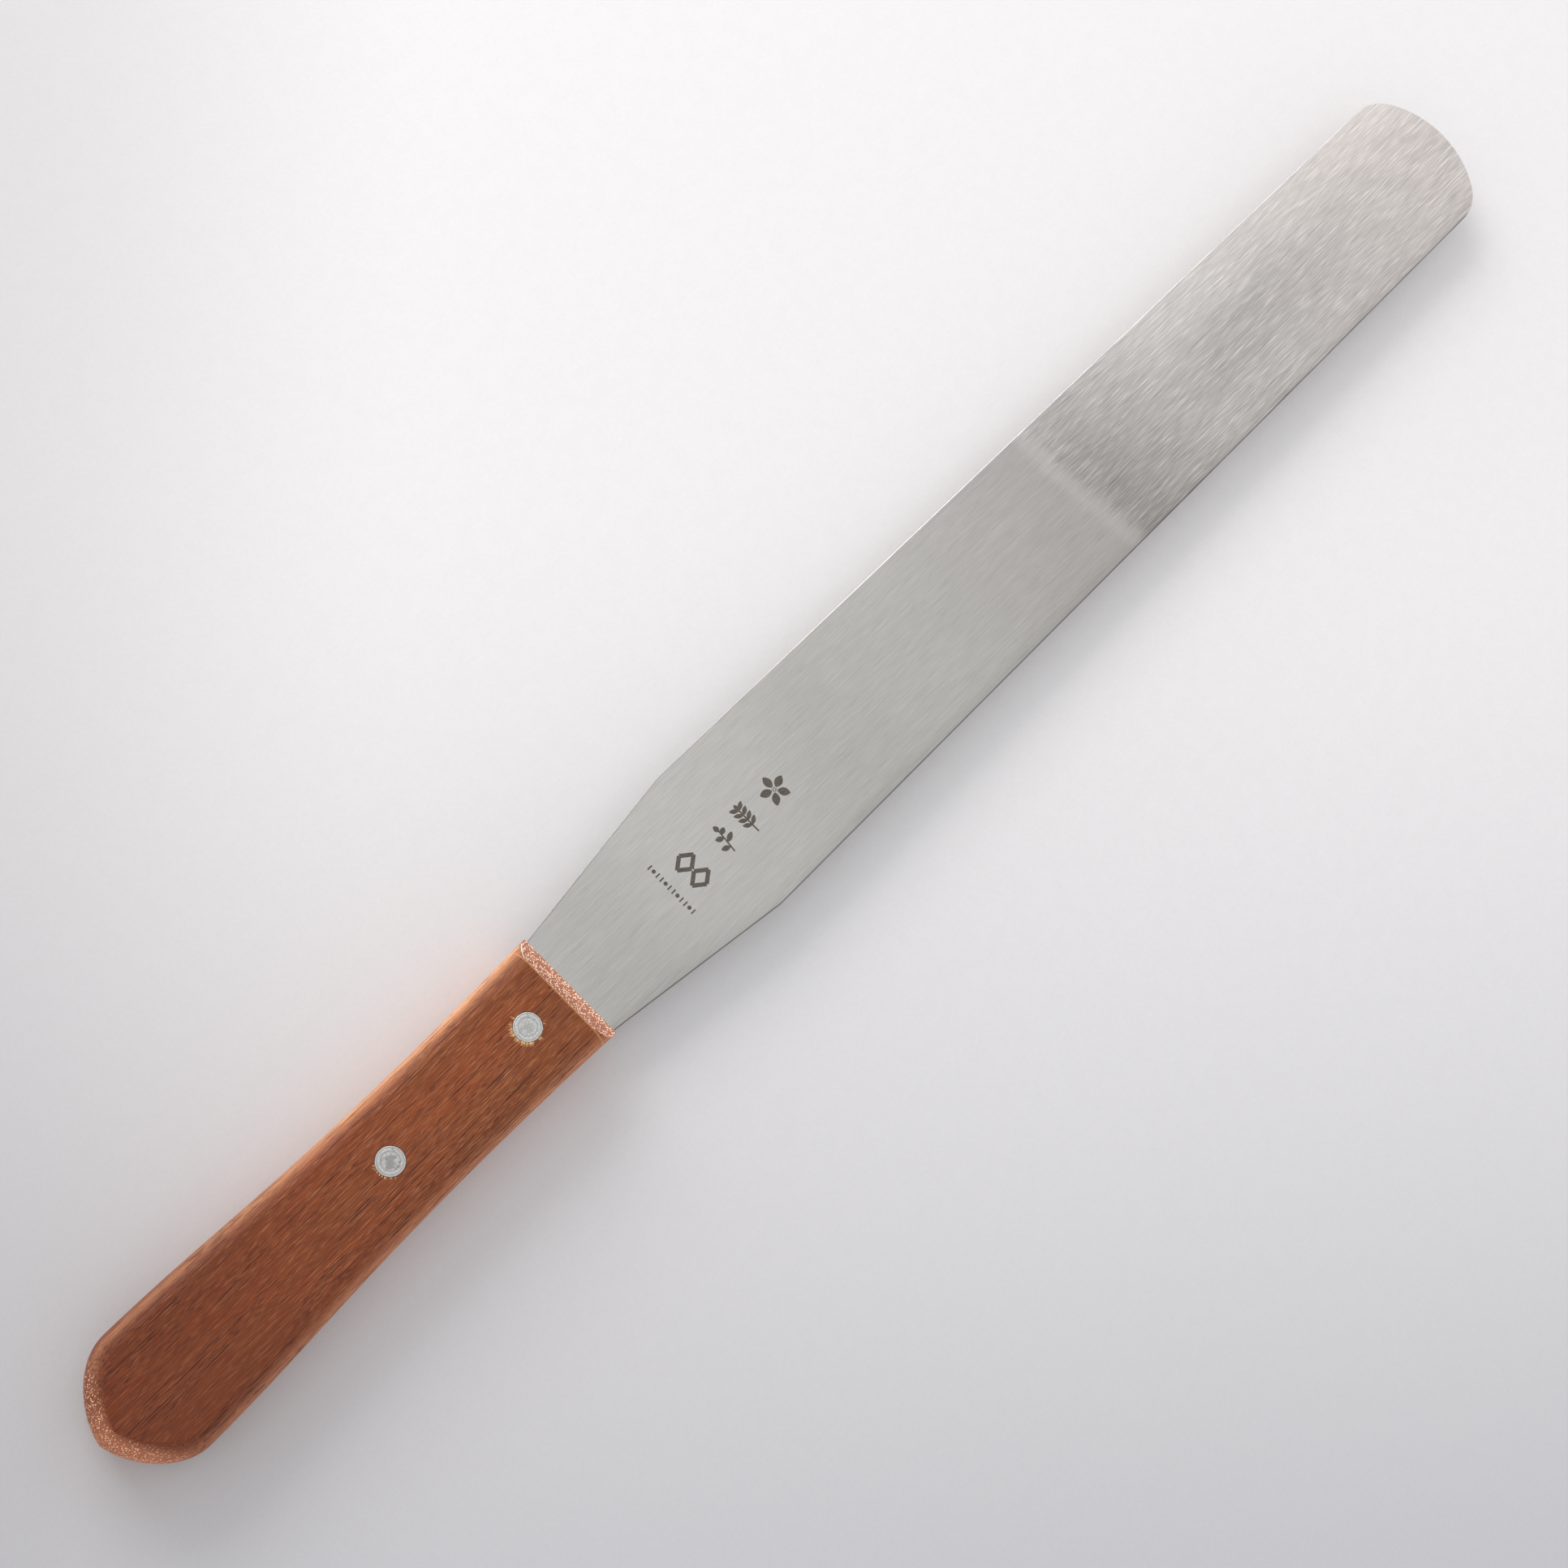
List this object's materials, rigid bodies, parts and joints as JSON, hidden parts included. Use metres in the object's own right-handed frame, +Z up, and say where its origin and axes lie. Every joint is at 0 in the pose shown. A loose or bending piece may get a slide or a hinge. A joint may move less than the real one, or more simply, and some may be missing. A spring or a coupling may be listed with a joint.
{
  "type": "palette knife",
  "caption": "Straight palette knife for icing and batter: long flat steel blade with a round end, tapering shoulders, half tang riveted into a slotted wooden handle.",
  "frame": {"origin": "under the middle of the whole knife, level with the underside of the handle", "axes": "+X from the butt of the handle to the tip of the blade, +Y across the blade, +Z up out of the handle's upper face"},
  "size_m": [0.4276, 0.0364, 0.016],
  "materials": {
    "blade_steel": "fine satin brushed along the blade, coarser and brighter beyond the grind line",
    "handle_wood": "open-grained red-brown hardwood, sanded and lightly oiled, with short dark pores",
    "rivet_metal": "filed flush, pale and matt, with faint turning rings"
  },
  "bodies": {
    "root": {"blade": "blade_steel", "handle": "handle_wood", "rivet_front": "rivet_metal", "rivet_rear": "rivet_metal"}
  },
  "joints": []
}
